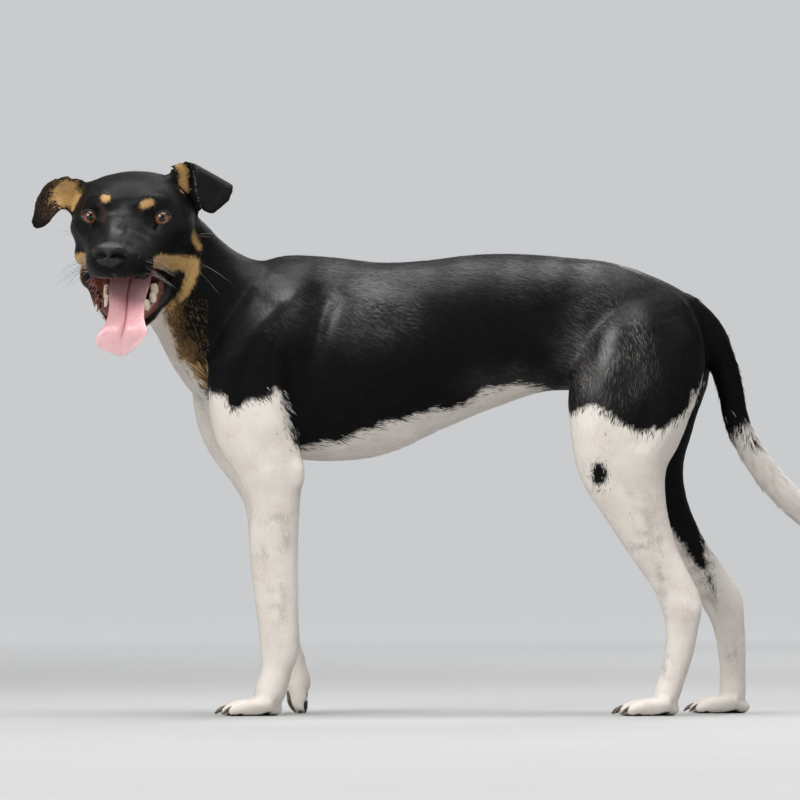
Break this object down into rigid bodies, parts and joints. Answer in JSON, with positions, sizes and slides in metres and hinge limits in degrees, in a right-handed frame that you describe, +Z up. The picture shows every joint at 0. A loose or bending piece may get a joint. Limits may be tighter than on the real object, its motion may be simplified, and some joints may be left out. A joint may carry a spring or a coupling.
{
  "type": "dog",
  "caption": "Young, smooth-coated, long-legged black dog with white legs and belly, standing with its head turned aside, mouth open and tongue out; a still figure.",
  "frame": {"origin": "centre of the bounding box on the floor, under the belly", "axes": "-X is the way the dog faces, so +X runs from the chest to the tail; +Y is the dog's right side; +Z is up"},
  "size_m": [0.8282, 0.2432, 0.551],
  "materials": {
    "coat_black": "short glossy black hair with tan and white markings",
    "coat_white": "short matte cream-white hair with sparse grey ticking",
    "nose_leather": "moist pebbled black leather",
    "tongue_skin": "moist pink skin with a central groove",
    "eye_amber": "clear glossy amber-brown eye",
    "claw_horn": "smooth dark horn"
  },
  "bodies": {
    "root": {"trunk": "coat_black", "neck": "coat_black", "head": "coat_black", "lower_jaw": "coat_black", "ear_left": "coat_black", "ear_right": "coat_black", "tail": "coat_black", "tail_end": "coat_white", "foreleg_left": "coat_white", "foreleg_right": "coat_white", "hindleg_left": "coat_white", "hindleg_right": "coat_white", "forepaw_left": "coat_white", "forepaw_right": "coat_white", "hindpaw_left": "coat_white", "hindpaw_right": "coat_white", "nose": "nose_leather", "tongue": "tongue_skin", "eye_left": "eye_amber", "eye_right": "eye_amber", "foreclaw_left_1": "claw_horn", "foreclaw_left_2": "claw_horn", "foreclaw_left_3": "claw_horn", "foreclaw_left_4": "claw_horn", "foreclaw_right_1": "claw_horn", "foreclaw_right_2": "claw_horn", "foreclaw_right_3": "claw_horn", "foreclaw_right_4": "claw_horn", "hindclaw_left_1": "claw_horn", "hindclaw_left_2": "claw_horn", "hindclaw_left_3": "claw_horn", "hindclaw_left_4": "claw_horn", "hindclaw_right_1": "claw_horn", "hindclaw_right_2": "claw_horn", "hindclaw_right_3": "claw_horn", "hindclaw_right_4": "claw_horn"}
  },
  "joints": []
}
